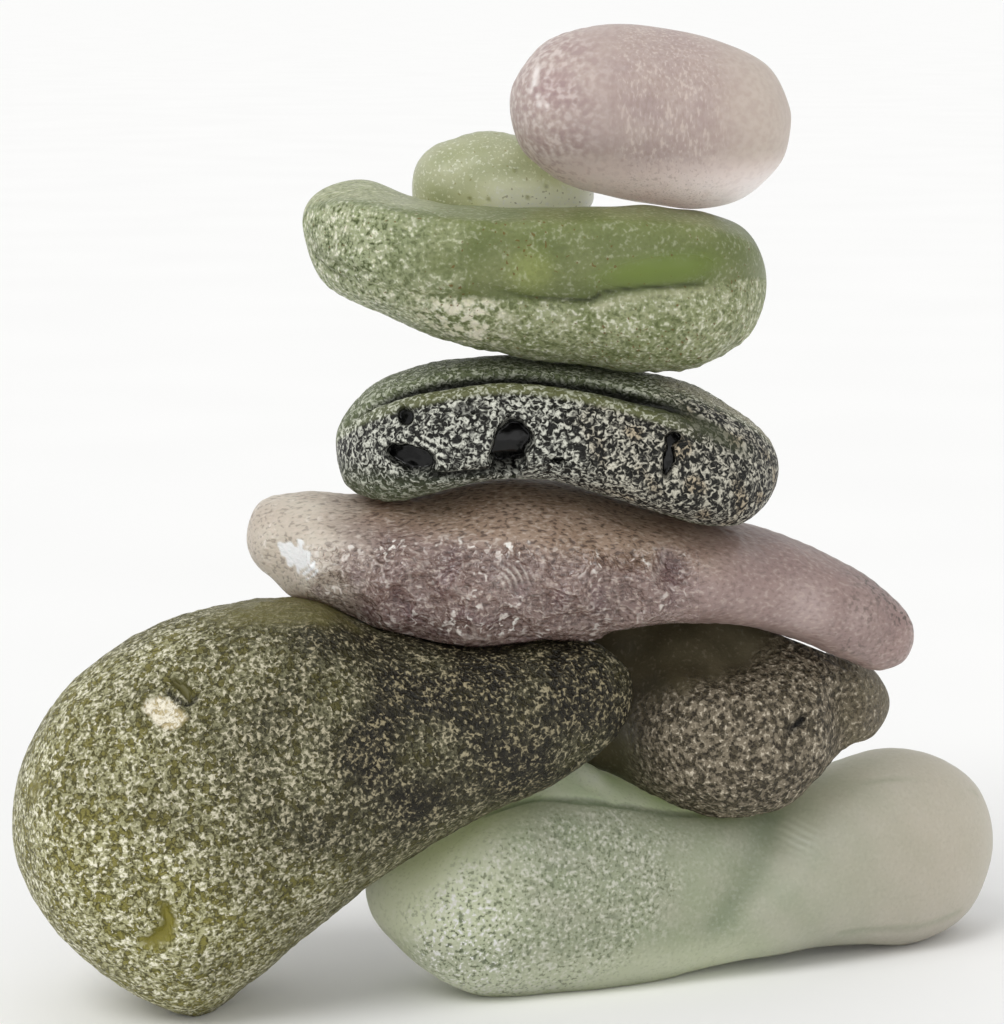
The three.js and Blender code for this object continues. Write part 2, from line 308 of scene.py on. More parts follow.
glass, place = blank_material("aqua_glass")
sparkle, bright, clear, warm, right, valley, edge, glint, lit, cloud = marked(place, *aqua_marks)
fine = grains(place, 0.29, 1.0)
coarse = grains(place, 0.55, 1.5)
grit = 0.65 * fine + 0.35 * coarse
pale = ramp(grit, 0.46, 0.64)
dark = ramp(fine, 0.43, 0.3)
spark = ramp(fine, 0.6, 0.7)
colour = tinted(cloud, shade(156, 164, 136), shade(172, 175, 153))
colour = tinted(right * 0.85, colour, tinted(cloud, shade(170, 173, 153), shade(182, 181, 164)))
colour = tinted(warm * 0.7, colour, shade(192, 182, 170))
# Painted shade: darker green along the crease, the seam and the foot groove.
colour = tinted(valley * 0.75, colour, shade(140, 150, 125))
# The clear fracture is tinted far paler than the glass: painted light, for light coming through where the
# club and the brown lump shade it.
colour = tinted(clear, colour, tinted(cloud, shade(202, 213, 182), shade(220, 227, 203)))
colour = tinted(lit * 0.85, colour, shade(214, 220, 186))
busy = 0.14 + 0.5 * sparkle + 0.3 * bright - 0.07 * right
colour = tinted(pale * pale * busy, colour, shade(230, 228, 218))
colour = tinted(dark * busy, colour, shade(88, 97, 68))
strokes = ramp(coarse, 0.43, 0.3) * (0.35 * sparkle + 0.5 * bright)
colour = tinted(strokes, colour, shade(84, 94, 70))
# Painted glints: near-white dots over the bright patch low on the left.
colour = tinted(spark * bright, colour, shade(250, 250, 246))
# Painted shade: a dark green line along the sharp edge under the clear fracture.
colour = tinted(edge * 0.6, colour, shade(96, 116, 84))
colour = tinted(glint * 0.6, colour, shade(214, 216, 204))
rough = 0.5 - 0.22 * clear + 0.1 * sparkle
finish_glass(
    colour, rough, fine * busy, depth=0.14, Subsurface_Weight=1.0,
    Subsurface_Radius=(1.0, 1.0, 0.9), Subsurface_Scale=0.02, Transmission_Weight=0.2,
)
stone("aqua_base", aqua, aqua_marks, glass)


# Olive club: the largest lump, dark olive glass so densely frosted that it looks like granite. Its
# fat end stands on the ground and its narrow end lies on the base. A pale flake has come away
# near the top of the fat end, and a burst bubble has left a ring low down.
def bell(distance, width):
    """A bell curve: 1 at no distance, about a third one width away and 0 from two widths on."""
    return np.exp(-((distance / width) ** 2))


olive_rim = [
    [-37.7, -8, 14.1], [-36.7, -7.9, 19.2], [-33.4, -7.6, 24.4], [-27.5, -7.1, 28.4], [-21.7, -6.6, 30.1],
    [-15.8, -6.1, 30.4], [-12.9, -5.9, 29.3], [-10, -5.6, 27.9], [-4.1, -5, 26.9], [1.9, -4.5, 27],
    [5.9, -4.2, 26.3], [8, -4, 23.8], [6.9, -4.1, 19.8], [2.6, -4.5, 16.6], [-2.6, -4.9, 14.4],
    [-7.8, -5.4, 11.5], [-12.3, -5.8, 8.5], [-16.3, -6.1, 5.2], [-20.2, -6.4, 1.9], [-24.6, -6.8, -0.5],
    [-29.8, -7.3, 2.1], [-33.8, -7.7, 5.6], [-36.8, -7.9, 10],
]
olive_depth = [9, 11.5, 11, 8.5, 6]
olive, spokes, *_ = lump(
    olive_rim, olive_depth, olive_depth, right_tip=11, power=0.95, stations=300, around=280
)
x, y, z = np.moveaxis(olive, -1, 0)
front = olive * (1, 0, 1)
on_front = fade(y, -10, -12)
flake_right = x + 25.6
flake_up = z - 24.1 + 0.25 * flake_right
flake = np.hypot(flake_right / 1.55, flake_up / 0.9) + 0.1 * ripple(olive, 1, 13)
flake = fade(flake, 1.1, 0.9) * on_front
facet = trail(front, [(-25, 0, 26.2), (-24.5, 0, 25.8), (-23.9, 0, 25.3)], 0.4) * on_front
facet *= fade(ripple(olive, 1.2, 52), -1.2, 0)
notch_path = [(-25.5, 0, 25.4), (-24.8, 0, 25), (-24.1, 0, 24.75), (-23.4, 0, 25.2)]
notch = trail(front, notch_path, 0.16) * on_front
bubble_right = x + 27
bubble_up = z - 9.3
bubble_radius = 1.6
from_bubble = np.hypot(bubble_right, bubble_up) + 0.1 * ripple(olive, 1.5, 5)
crescent = fade(bubble_right - 0.5 * bubble_up, -0.4, 1.3)
bubble = bell(from_bubble - bubble_radius, 0.42) * (0.25 + 0.75 * crescent) * fade(y, -10, -14)
side_scar = dent(olive, (-35.3, -14.6, 18.4), 1.6)
sink = 0.2 * flake + 0.35 * facet + 0.4 * notch + 0.4 * bubble + 0.15 * side_scar
olive_dents = [(-0.12, (-27, -17.8, 9.3), 1.3), (0.35, (-13, -4.5, 29.6), 4.5), (-0.3, (4, -4, 26.8), 4)]
sink += dents(olive, olive_dents)
sink += 0.08 * ripple(olive, 6, 6) + 0.045 * ripple(olive, 1.9, 7) + 0.03 * ripple(olive, 0.85, 8)
olive -= sink[..., None] * spokes
smooth = fade(z + 0.25 * ripple(olive, 3, 9), 28.6, 29.8) * fade(x, -25, -20) * fade(y, -12, -10)
olive_marks = {
    # Darker towards the right: the glass's own tone, and painted shade where the shard hangs over the
    # narrow end; less dark low down.
    "dark_tone_and_shade": held(fade(x, -40, -6) + 0.1 * ripple(olive, 6, 10) - 0.35 * fade(z, 19, 8)),
    "green": held(fade(z, 17, 5) * fade(x, 6, -10) + 0.25 * ripple(olive, 4, 11)),
    "clumps": held(0.4 + 0.45 * ripple(olive, 2.1, 12) + 0.5 * dent(olive, (-17, -17, 19), 9)),
    "smooth": held(0.7 * smooth + 0.7 * side_scar),
    "ring": held(1.3 * bubble * crescent),
    "flake": flake,
    "facet": held(2 * facet - 0.5),
    "notch": notch,
}

glass, place = blank_material("olive_glass")
dark_tone_and_shade, green, clumps, smooth, ring, flake, facet, notch = marked(place, *olive_marks)
wide = grains(place, 0.6, 2.0)
fine = grains(place, 0.28, 1.0, 0.5)
grit = 0.45 * wide + 0.55 * fine
plates = ramp(wide + 0.06 * clumps, 0.42, 0.56)
flecks = ramp(0.3 * wide + 0.7 * fine + 0.06 * clumps, 0.51, 0.68)
flecks *= flecks
dark = ramp(fine, 0.48, 0.34)
even = (1 - 0.8 * smooth) * (1 - ring) * (1 - facet)
# Each tint below is a lit and a shaded copy mixed by that mask, so part of the shade is painted.
colour = tinted(dark_tone_and_shade, shade(132, 126, 64), shade(26, 22, 9))
colour = tinted(green * 0.5, colour, tinted(dark_tone_and_shade, shade(130, 126, 56), shade(80, 76, 34)))
colour = tinted(plates * even * 0.8, colour, tinted(dark_tone_and_shade, shade(182, 180, 140), shade(52, 48, 33)))
colour = tinted(dark * even * 0.7, colour, tinted(dark_tone_and_shade, shade(72, 68, 30), shade(12, 10, 3)))
hair_lines = curls(wide, 0.45, 0.05) * even
colour = tinted(hair_lines * 0.8, colour, tinted(dark_tone_and_shade, shade(60, 56, 22), shade(10, 8, 2)))
colour = tinted(flecks * even * 0.85, colour, tinted(dark_tone_and_shade, shade(250, 246, 224), shade(158, 147, 116)))
colour = tinted(smooth * 0.6, colour, shade(112, 106, 58))
colour = tinted(ring * 0.9, colour, shade(122, 115, 42))
colour = tinted(flake, colour, tinted(ramp(grit, 0.4, 0.56), shade(180, 165, 124), shade(232, 225, 204)))
colour = tinted(facet, colour, shade(88, 84, 46))
colour = tinted(notch, colour, shade(26, 24, 8))
rough = 0.5 - 0.15 * smooth - 0.15 * ring
finish_glass(colour, rough, grit * even, depth=0.6)
stone("olive_club", olive, olive_marks, glass)


# Brown lump: a knobbly stone of smoky brown glass in the saddle of the base. A fat frosted lobe hangs
# over the base at the front, and behind it the clear dark body leans under the shard, with a step
# in its top that leaves a narrow gap below the shard's arm.
def bed(surface, below, most):
    """Lets a lump down on the one below. The lower one's top is a map of the highest point in each
    half millimetre square. In each section the least gap above it is closed and the lump pressed in
    a little, by no more than the most, and not where the gap is over about twice that. The shifts
    are smoothed along the length, and they die away two millimetres above the map."""

    def square(points):
        """Row and column of the map's square under each point."""
        return tuple(np.moveaxis(np.rint(2 * points[..., :2]).astype(int) + 120, -1, 0))

    pressed = 0.12
    reach = 6
    top = np.full((240, 240), -99.0)
    np.maximum.at(top, square(below), below[..., 2])
    gap = surface[..., 2] - top[square(surface)]
    least = gap.min(axis=1) + pressed
    drop = np.where(least < 2 * most, np.clip(least, -most, most), 0)
    window = np.hanning(2 * reach + 3)[1:-1] / (reach + 1)
    drop = np.convolve(np.pad(drop, reach, "edge"), window, "valid")
    surface[..., 2] -= drop[:, None] * fade(gap, 2, 0.3)


def patches(surface, length, seed):
    """A mask of soft patches about that long, near a half all over."""
    return held(0.5 + 0.35 * ripple(surface, length, seed))


brown_rim = [
    [1.7, 7, 20.5], [2.7, 6.8, 24.6], [6.3, 6, 27.3], [11.1, 5.4, 28.1], [15.5, 5.4, 28], [19.9, 5.6, 26.7],
    [24, 5.8, 24.8], [26.9, 5.9, 22.9], [28.3, 6, 20.2], [27.1, 5.4, 17.8], [24.7, 4.2, 17],
    [22.4, 3, 15], [19.8, 2.2, 13], [16.3, 1.5, 12.6], [12, 2, 13.4], [7.9, 3.8, 14.8], [3.9, 6, 16.6],
]
brown_front = [4, 6.5, 7.5, 7, 4]
brown_back = [4, 6, 6.5, 6, 4]
brown, spokes, *_ = lump(
    brown_rim, brown_front, brown_back, right_tip=8, power=0.95, stations=240, around=200
)
x, y, z = np.moveaxis(brown, -1, 0)
above_lobe = z - 21.5 - 0.42 * (x - 9.3) + 0.3 * ripple(brown, 2, 14)
lobe = fade(above_lobe, 1.6, -1.2) * fade(x, 7.4, 9.4) * fade(y, 5, 3)
brown_dents = [
    (1.3, (24.3, 0.5, 21), 3), (1, (24.3, 0.5, 18), 3), (2, (8.3, 0.5, 24), 6.5),
    (1.6, (15.3, -0.5, 26), 5.5), (1.2, (6.9, 0.5, 17.5), 4.5), (-0.5, (4.4, 4.4, 16.4), 2.6),
    (-1.2, (6.5, 4.5, 27.5), 5),
]
pit = trail(brown, [(19.7, -3, 19.8), (20.3, -2.8, 20.2), (20.9, -2.5, 20.6)], 0.4)
pock = dent(brown, (23.2, 0.6, 21.9), 0.8)
sink = dents(brown, brown_dents) + 0.5 * pit + 0.3 * pock
sink += 0.07 * ripple(brown, 4, 15) + 0.03 * (0.3 + lobe) * ripple(brown, 0.9, 16)
brown -= sink[..., None] * spokes
# The step: what stands above a plane along the line of sight goes, between the shard's two supports.
over_gap = np.maximum(0, z - 25.2 + 0.39 * (x - 20.4) + 0.22 * (y - 5))
brown[..., 2] -= over_gap * fade(x, 18.6, 20) * fade(x, 24.5, 23)
bed(brown, aqua, 0.6)
knob = fade(x, 23, 25)
brown_marks = {
    "lobe": lobe,
    "knob": knob,
    "light": fade(x, 10, 18),
    "frost": held(0.1 + 0.9 * lobe * (1 - 0.6 * knob) + 0.25 * knob),
    "pit": held(1.3 * pit + 0.8 * pock - 0.15),
    "cloud": patches(brown, 3, 17),
}

glass, place = blank_material("brown_glass")
lobe, knob, light, frost, pit, cloud = marked(place, *brown_marks)
wide = grains(place, 0.5, 2.0)
fine = grains(place, 0.27, 1.0)
grit = 0.4 * wide + 0.6 * fine
plates = ramp(wide, 0.36, 0.6)
pale = ramp(grit, 0.51, 0.68)
pale *= pale
dark = ramp(grit, 0.5, 0.36)
colour = tinted(cloud, shade(66, 60, 42), shade(84, 77, 56))
# Painted light: paler towards the right, where light falls on the lump, so that the body at the left stays
# dark in painted shade under the shard.
colour = tinted(light * 0.8, colour, tinted(cloud, shade(88, 82, 62), shade(104, 97, 77)))
colour = tinted(lobe, colour, tinted(plates, shade(82, 74, 57), shade(124, 114, 96)))
colour = tinted(knob * 0.8, colour, tinted(cloud, shade(106, 96, 78), shade(114, 106, 84)))
colour = tinted(dark * frost * 0.7, colour, shade(22, 17, 8))
colour = tinted(curls(wide, 0.44, 0.04) * frost * 0.8, colour, shade(22, 17, 8))
colour = tinted(pale * frost * 0.85, colour, shade(208, 197, 176))
# Painted shade: the pit and the pock are near black.
colour = tinted(pit, colour, shade(10, 8, 6))
rough = 0.45 + 0.12 * frost
finish_glass(colour, rough, grit * frost, depth=0.6)
stone("brown_lump", brown, brown_marks, glass)


# Lilac shard: a long curved sliver of lilac glass laid across the club and the brown lump. Its top is
# worn to a fine grain, its lower front is freshly chipped into glossy shells, and its right arm is
# smooth and clear.
def scoops(surface, middles, radii):
    """Shell-shaped chips: at each point the deepest of many round dents, each as deep as its radius, so
    that the ridges between them stay sharp. Distance is taken across the front, in X and Z. Gives
    that depth, and 1 on the ridges, where the two deepest dents are equal."""
    flat = surface[..., [0, 2]]
    falls = np.stack([r - np.sum((flat - m) ** 2, axis=-1) / r for m, r in zip(middles, radii)])
    second, first = np.partition(falls, -2, axis=0)[-2:]
    return np.maximum(0, first), fade(first - second, 0.12, 0.0)


lilac_rim = [
    [-20.8, -1, 34.4], [-19.8, -0.7, 36.9], [-16.8, -0.4, 37.5], [-12.3, -0.2, 37.3], [-7.1, 0, 37.5],
    [-1.8, 0.2, 38.5], [3.4, 0.5, 38], [8.7, 0.8, 36.6], [13.2, 1, 35.6], [17.8, 1.3, 34.5],
    [22.3, 1.6, 32.7], [26.3, 1.8, 30.5], [28.9, 2, 28.2], [29.6, 2, 26], [28.7, 1.9, 24.1],
    [26.4, 1.8, 23.6], [23.6, 1.2, 24.9], [20.1, 0.4, 26.4], [15.6, -1, 27.8], [11, -2.4, 28.2],
    [5.6, -3.4, 27.7], [-0.3, -4, 27.3], [-5.6, -4.2, 27.2], [-9.4, -4, 27.8], [-13.4, -3.4, 29.5],
    [-17.1, -2.4, 30.5], [-20, -1.6, 32.3],
]
lilac_front = [5, 7, 7.5, 7.5, 7, 5.5, 4]
lilac_back = [5, 8, 9, 9, 8, 6, 4]
lilac, spokes, _, degrees = lump(
    lilac_rim, lilac_front, lilac_back, right_tip=13, power=0.95, stations=420, around=220
)
x, y, z = np.moveaxis(lilac, -1, 0)
on_front = fade(y, 0, -2)
broken = fade(z + 0.4 * ripple(lilac, 4, 18), 35.2, 34) * fade(x, -17, -15.5) * fade(x, 15, 10) * on_front
chip_count = 150
chance = np.random.default_rng(19)
chip_middles = chance.uniform((-15.5, 26.5), (13, 35), (chip_count, 2))
chip_radii = 0.45 + 2.2 * chance.uniform(0, 1, chip_count) ** 2
chips, ridges = scoops(lilac, chip_middles, chip_radii)
arc_patch = bell(x + 0.9, 1.2) * bell(z - 32.7, 0.8) * on_front
arcs = arc_patch * wave(np.hypot(x + 2.6, z - 31.7), 0.46)
glint_right = x + 16.7
glint_up = z - 33.5 + 0.3 * glint_right
glint = fade(np.hypot(glint_right / 2.7, glint_up / 2.4), 1, 0) * on_front
violet_middle = (10.6, -7.1, 33.1)
violet = dent(lilac, violet_middle, 2)
cracks = dent(lilac, (-15.7, -6.5, 32.8), 1.4) * wave(np.hypot(x + 18, z - 34.6), 0.5)
shells = [
    (0.6, (-18.1, -5.6, 32.6), 2.6), (0.8, (-13.1, -8.4, 30.2), 3.2), (0.9, (-7.1, -9.6, 29.6), 3.6),
    (0.8, (-0.3, -9.6, 29.8), 3.4), (0.7, (5.7, -8.8, 30), 3.2), (0.5, (11.3, -7.6, 31.4), 2.8),
    (0.35, violet_middle, 1.7),
]
sink = dents(lilac, shells, sharp=True) + 0.3 * glint + 0.06 * arcs
sink += broken * fade(degrees, 150, 125) * (0.4 * chips - 0.25)
sink += 0.06 * ripple(lilac, 4, 20) + 0.02 * (1 - broken) * ripple(lilac, 1, 21)
lilac -= sink[..., None] * spokes
bed(lilac, olive, 0.7)
# The violet spot and the purple clouds over the chipped front are the glass's own tint; the patch on the
# lower left facets is painted shade.
purple_and_facet_shade = violet + 0.4 * dent(lilac, (-9, -9.2, 29.4), 3.6)
purple_and_facet_shade += 0.6 * broken * fade(ripple(lilac, 2.6, 23), 0.2, 1.2)
well_forward = fade(y, -2, -4)
flakes_and_highlights = held(0.25 + 0.5 * ripple(lilac, 3, 50) + 0.4 * dent(lilac, (-2, -9.4, 31), 5))
flakes_and_highlights *= held(broken + 0.7 * fade(x, -13, -16))
# Painted highlights: bands of white flecks along the ridge under the worn top and along the lower edge,
# added to the flaking.
flakes_and_highlights += 0.8 * bell(z - 34.8, 0.6) * fade(x, -15, -13) * fade(x, 4, 0) * well_forward
flakes_and_highlights += 0.8 * bell(z - 28.8, 0.7) * fade(x, -13, -11) * fade(x, 3, -1) * well_forward
specked = held(0.3 + 0.7 * fade(z + 1.15 * x, 59, 61) - 0.3 * ripple(lilac, 2.5, 25))
lilac_marks = {
    "worn": fade(z + 0.15 * x, 33.4, 35.6) * fade(x, 18, 8) * fade(x, -17, -11),
    "broken": broken,
    "ridges": held(0.25 * broken * ridges + arcs + cracks),
    "pale_tip": fade(x + 0.5 * ripple(lilac, 3, 22), -10.5, -16),
    "arm": fade(x, 6, 17),
    "violet": held(purple_and_facet_shade),
    "glow": dent(lilac, (21, -4, 29.6), 3.4) + 0.7 * dent(lilac, (24.6, -2, 28.4), 2),
    "glint": fade(glint + 0.14 * ripple(lilac, 0.9, 24) - 0.5 * cracks, 0.45, 0.6),
    "flakes_and_highlights": flakes_and_highlights,
    "specked": specked * fade(x, 21.5, 25),
    "cloud": patches(lilac, 3.5, 26),
}

glass, place = blank_material("lilac_glass")
worn, broken, ridges, pale_tip, arm, *others = marked(place, *lilac_marks)
violet, glow, glint, flakes_and_highlights, specked, cloud = others
drawn = place.node("ShaderNodeMapping", {}, {"Vector": place, "Scale": (0.55, 1.0, 1.0)})
grit = grains(drawn, 0.27, 1.5)
swirled = grains(place, 0.5, 1.5, 0.6)
pale = ramp(grit, 0.54, 0.7)
dark = ramp(grit, 0.47, 0.33)
speck = ramp(grains(place, 0.4, 1.0), 0.5, 0.36)
colour = tinted(cloud, shade(122, 100, 93), shade(146, 125, 117))
colour = tinted(arm, colour, tinted(cloud, shade(146, 124, 119), shade(156, 135, 129)))
colour = tinted(worn, colour, tinted(cloud, shade(148, 124, 104), shade(168, 145, 126)))
colour = tinted(pale_tip, colour, tinted(cloud, shade(194, 182, 167), shade(214, 205, 190)))
colour = tinted(violet * 0.7, colour, shade(106, 78, 84))
colour = tinted(glow * 0.5, colour, shade(190, 173, 168))
colour = tinted(dark * (0.6 + 0.2 * worn - 0.35 * arm - 0.2 * pale_tip), colour, shade(70, 52, 43))
colour = tinted(pale * (0.5 - 0.25 * arm), colour, shade(214, 200, 188))
colour = tinted(curls(swirled, 0.43, 0.04) * broken * 0.6, colour, shade(62, 40, 38))
colour = tinted(ramp(swirled, 0.55, 0.72) * flakes_and_highlights * 0.9, colour, shade(244, 236, 228))
# Painted highlights: pale lines on the ridges between chips, on the ripple arcs and on the cracks by the
# glint.
colour = tinted(ridges * 0.8, colour, shade(238, 230, 220))
colour = tinted(specked * speck * 0.85, colour, shade(70, 60, 52))
colour = tinted(glint, colour, shade(250, 250, 250))
rough = 0.5 - 0.34 * broken - 0.12 * arm
relief = grit * (0.5 - 0.3 * arm) + 1.5 * swirled * broken
finish_glass(
    colour, rough, relief, depth=0.24, Specular_IOR_Level=0.6, Subsurface_Weight=0.5,
    Subsurface_Radius=(1.0, 0.85, 0.85), Subsurface_Scale=0.01, Transmission_Weight=0.15,
)
stone("lilac_shard", lilac, lilac_marks, glass)


# Pitted stone: an arched lump of almost black green glass. Its front is a flat face of black and white
# frosting, holed by burst bubbles, under a smooth olive lip with a dark gap behind it.
def past_line(v, degrees, start, end, angles):
    """How many degrees each point lies past a smooth line of angles, which runs from the start to the
    end share of the length, and half a sine wave along that run."""
    run = np.clip((v - start) / (end - start), 0, 1)
    line = np.array([angles[0], *angles, angles[-1]])[:, None]
    past = degrees - smooth_loop(line, 1 + run * (len(angles) - 1))[..., 0]
    return (past + 180) % 360 - 180, np.sin(np.pi * run)


def hole(surface, middle, reach, tilt, seed):
    """Share of a burst bubble's depth: flat inside a ragged, tilted oval across the front, in X and Z,
    with steep walls."""
    right, up = surface[..., 0] - middle[0], surface[..., 2] - middle[1]
    c, s = np.cos(np.radians(tilt)), np.sin(np.radians(tilt))
    away = np.hypot((c * right + s * up) / reach[0], (c * up - s * right) / reach[1])
    return fade(away + 0.09 * ripple(surface, 1.3, seed), 1.12, 0.85) * fade(surface[..., 1], 0, -2)


pitted_rim = [
    [-14.1, 0, 40.7], [-13.6, 0, 43], [-11.2, 0, 45.6], [-7.1, 0, 47.1], [-2.1, 0, 47.6], [2.6, 0, 47.3],
    [7.1, 0, 46.7], [11.6, 0, 45.8], [15.3, 0, 44], [18.2, 0, 41.6], [19, 0, 39.2], [18, -1, 36.9],
    [15.8, -2, 35.5], [12.4, -2.4, 35.8], [8.6, -2.6, 37], [4.1, -2.6, 38.5], [0.4, -2.6, 39.2],
    [-3.3, -2.6, 39], [-7.1, -2.6, 37.9], [-10.5, -2, 37.3], [-13.2, -1, 38.2],
]
pitted_front = [5, 7.6, 8, 8, 7.6, 5]
pitted_back = [5, 8, 9, 9, 8, 5]
pitted, spokes, v, degrees = lump(
    pitted_rim, pitted_front, pitted_back, right_tip=10, power=0.85, stations=320, around=280
)
x, y, z = np.moveaxis(pitted, -1, 0)
past_lip, along_lip = past_line(v, degrees, 0.02, 0.92, [45, 41, 38, 46, 66])
along_lip *= fade(v, 0.86, 0.62)
gap = along_lip * bell(past_lip + 2, 4.5)
fracture = fade(v, 0.5, 0.64) * fade(v, 0.92, 0.8) * fade(past_lip, -10, -3) * fade(past_lip, 16, 8)
lip = along_lip * fade(past_lip, 0, 3) * fade(past_lip, 23, 17)
burst = hole(pitted, (-1.1, 42), (1.45, 2.3), -12, 27)
slot = hole(pitted, (-8.2, 41.1), (1.9, 1), -14, 28)
pocks = hole(pitted, (-8.7, 44.2), (0.65, 0.6), 0, 29) + hole(pitted, (10.7, 42.7), (0.6, 0.5), 0, 30)
pocks += hole(pitted, (10.3, 41.2), (0.45, 1.3), -8, 31) + hole(pitted, (2.4, 41.2), (0.45, 0.25), 0, 32)
shallow = hole(pitted, (-4.4, 44.8), (0.8, 0.45), 0, 33)
ledge = trail(pitted * (1, 0, 1), [(-6.8, 0, 39.9), (-5, 0, 40), (-2.4, 0, 40.2)], 0.28) * fade(y, -2, -4)
sink = 1.1 * along_lip * bell(past_lip, 7) + 0.6 * gap - 0.25 * lip
sink += 2 * burst + 1.2 * slot + 0.7 * held(pocks) + 0.3 * shallow + 0.6 * ledge
sink += 0.06 * ripple(pitted, 4, 34) + 0.035 * ripple(pitted, 0.9, 35)
pitted -= sink[..., None] * spokes
face = np.maximum(fade(past_lip, 16, 22), fade(x, 8, 13) * fade(degrees, 20, 36))
face *= fade(degrees, 172, 150)
stripes = wave(0.87 * z + 0.5 * x, 0.55) * bell(x + 7.3, 1.8) * bell(z - 42, 1.1)
mossy = fade(z, 41, 37.5) * fade(x, 0, -6) + 0.7 * fade(past_lip, 0, -8) * fade(x, 12, 4)
pitted_marks = {
    "face": face,
    "lip": held(1.3 * lip * fade(v, 0.02, 0.25)),
    "gap": held(2.4 * gap * fade(np.abs(v - 0.48), 0.44, 0.24) + 1.2 * ledge),
    "fracture": fracture,
    "pits": held(burst + slot + pocks + 0.6 * shallow),
    "stripes": stripes * face * (1 - slot),
    "green": held(mossy),
    "tan": fade(x, 1, 8) * (0.4 + 0.6 * fade(ripple(pitted, 2.4, 36), 0.2, 1.2)),
    "strip": fade(x, 9, 11) * fade(degrees, 30, 16),
}

glass, place = blank_material("dark_glass")
face, lip, gap, fracture, pits, stripes, green, tan, strip = marked(place, *pitted_marks)
grit = grains(place, 0.36, 1.5, 0.9)
light = ramp(grit + 0.16 * stripes, 0.37, 0.65)
light *= light
colour = tinted(face, shade(96, 102, 74), shade(14, 14, 9))
frost_tint = tinted(tan * 0.8, shade(216, 217, 204), shade(182, 163, 132))
frost_tint = tinted(face, shade(236, 238, 220), frost_tint)
colour = tinted(light * (0.95 - 0.15 * green), colour, frost_tint)
colour = tinted(green * 0.45, colour, shade(118, 131, 92))
colour = tinted(lip * (0.9 - 0.4 * light), colour, shade(94, 96, 62))
# Painted light: a paler band along the top at the right.
colour = tinted(strip * 0.6, colour, shade(186, 178, 158))
# Painted shade: darker green across the hollow on the right of the groove, which is also smoother.
colour = tinted(fracture * 0.8, colour, shade(52, 57, 31))
# Painted shadow: near black in the gap behind the lip and in the slit along the ledge.
colour = tinted(gap * 0.95, colour, shade(12, 13, 6))
# The holes are bare dark glass, painted darker still as shade inside them.
colour = tinted(pits, colour, tinted(light, shade(4, 4, 4), shade(14, 14, 13)))
calm = (1 - pits) * (1 - 0.8 * lip) * (1 - 0.8 * fracture)
rough = 0.5 - 0.3 * pits
finish_glass(colour, rough, grit * calm, depth=0.6)
stone("pitted_stone", pitted, pitted_marks, glass)


# Green dish: a thick boat-shaped piece of bottle green glass, hollowed on top. A crease runs along its
# front, smooth and clear above and roughly frosted below, with rusty specks of melted grit.
dish_rim = [
    [-16.4, 0, 57.1], [-15.7, -0.2, 59.2], [-12.9, -1, 60.2], [-8.5, -2, 59.7], [-3.3, -2.6, 59.3],
    [1.9, -2.6, 59.3], [7.1, -2.2, 59.4], [11.5, -1.2, 59], [15.1, 0.2, 57.9], [17.1, 1, 56.2],
    [18, 1, 53.3], [17.3, 0.6, 50.4], [15.2, 0, 48.3], [12.4, -0.6, 47.1], [8.6, -1, 46.8],
    [4.1, -1, 47.3], [-0.4, -1, 47.9], [-5.6, -0.8, 49.1], [-10.8, -0.6, 51.2], [-14.8, -0.2, 53.3],
]
dish_front = [6, 7.6, 7.6, 7.6, 7.6, 6]
dish_back = [6, 9, 11, 11, 9, 6]
dish_around = 230
dish_turn = np.linspace(0, 360, dish_around, endpoint=False)
dish_power = 0.85 - 0.35 * bell(dish_turn - 48, 26)
dish, spokes, v, degrees = lump(
    dish_rim, dish_front, dish_back, right_tip=10, power=dish_power, stations=300, around=dish_around
)
x, y, z = np.moveaxis(dish, -1, 0)
past_trough, along_trough = past_line(v, degrees, 0.16, 0.92, [-34, -36, -36, -34])
past_crease, along_crease = past_line(v, degrees, 0.02, 0.98, [125, 115, 97, 92, 84, 82])
front = dish * (1, 0, 1)
crack_path = [
    (-3.5, 0, 53.8), (-1.6, 0, 53.4), (0.5, 0, 52.9), (3, 0, 52.7), (4.6, 0, 52.7), (5.8, 0, 53.4),
    (8.4, 0, 53.7), (11, 0, 53.8), (12.9, 0, 53.9),
]
crack = trail(front, crack_path, 0.16) * fade(y, -2, -4)
nicks = trail(front, [(-15.6, 0, 56.6), (-14.7, 0, 55.6), (-13, 0, 55), (-11.4, 0, 54.6)], 0.2)
nicks += trail(front, [(-15.4, 0, 55.6), (-14.4, 0, 54.6), (-13, 0, 54)], 0.2)
nicks *= fade(y, 0, -2)
sink = 3.4 * along_trough**2 * bell(past_trough, 26)
sink += 0.6 * along_crease * bell(past_crease, 6)
sink -= 0.9 * dent(dish, (-12.4, 2.4, 59), 6.5)
below = fade(past_crease, -1, 4) * fade(degrees, 230, 200)
left_end = fade(x + 0.8 * ripple(dish, 3, 37), -3, -13)
rough_skin = held(below + left_end * fade(degrees, 40, 60) * fade(degrees, 250, 220))
sink += 0.3 * crack + 0.22 * nicks + 0.06 * ripple(dish, 4, 38)
sink += rough_skin * (0.05 * ripple(dish, 1.5, 39) + 0.03 * ripple(dish, 0.8, 40))
dish -= sink[..., None] * spokes
white = 0.1 + 0.12 * ripple(dish, 1.3, 41) + 1.2 * dent(dish, (-4.5, -8.2, 51.5), 5)
window_right = x - 9.5
window_up = z - 54.8 - 0.1 * window_right
window = fade(np.hypot(window_right / 5.6, window_up / 1.6), 1.2, 0.3) * fade(y, -4, -7)
rust_spots = [((-0.5, -9, 57.6), 3.5), ((5.6, -9, 55), 1.8), ((-4.4, -9, 53.3), 2.4), ((16, -5, 53), 3.5)]
rust = sum(dent(dish, middle, radius) for middle, radius in rust_spots)
rust += fade(z, 51.5, 49.5) * fade(x, 2, 6) + 0.25
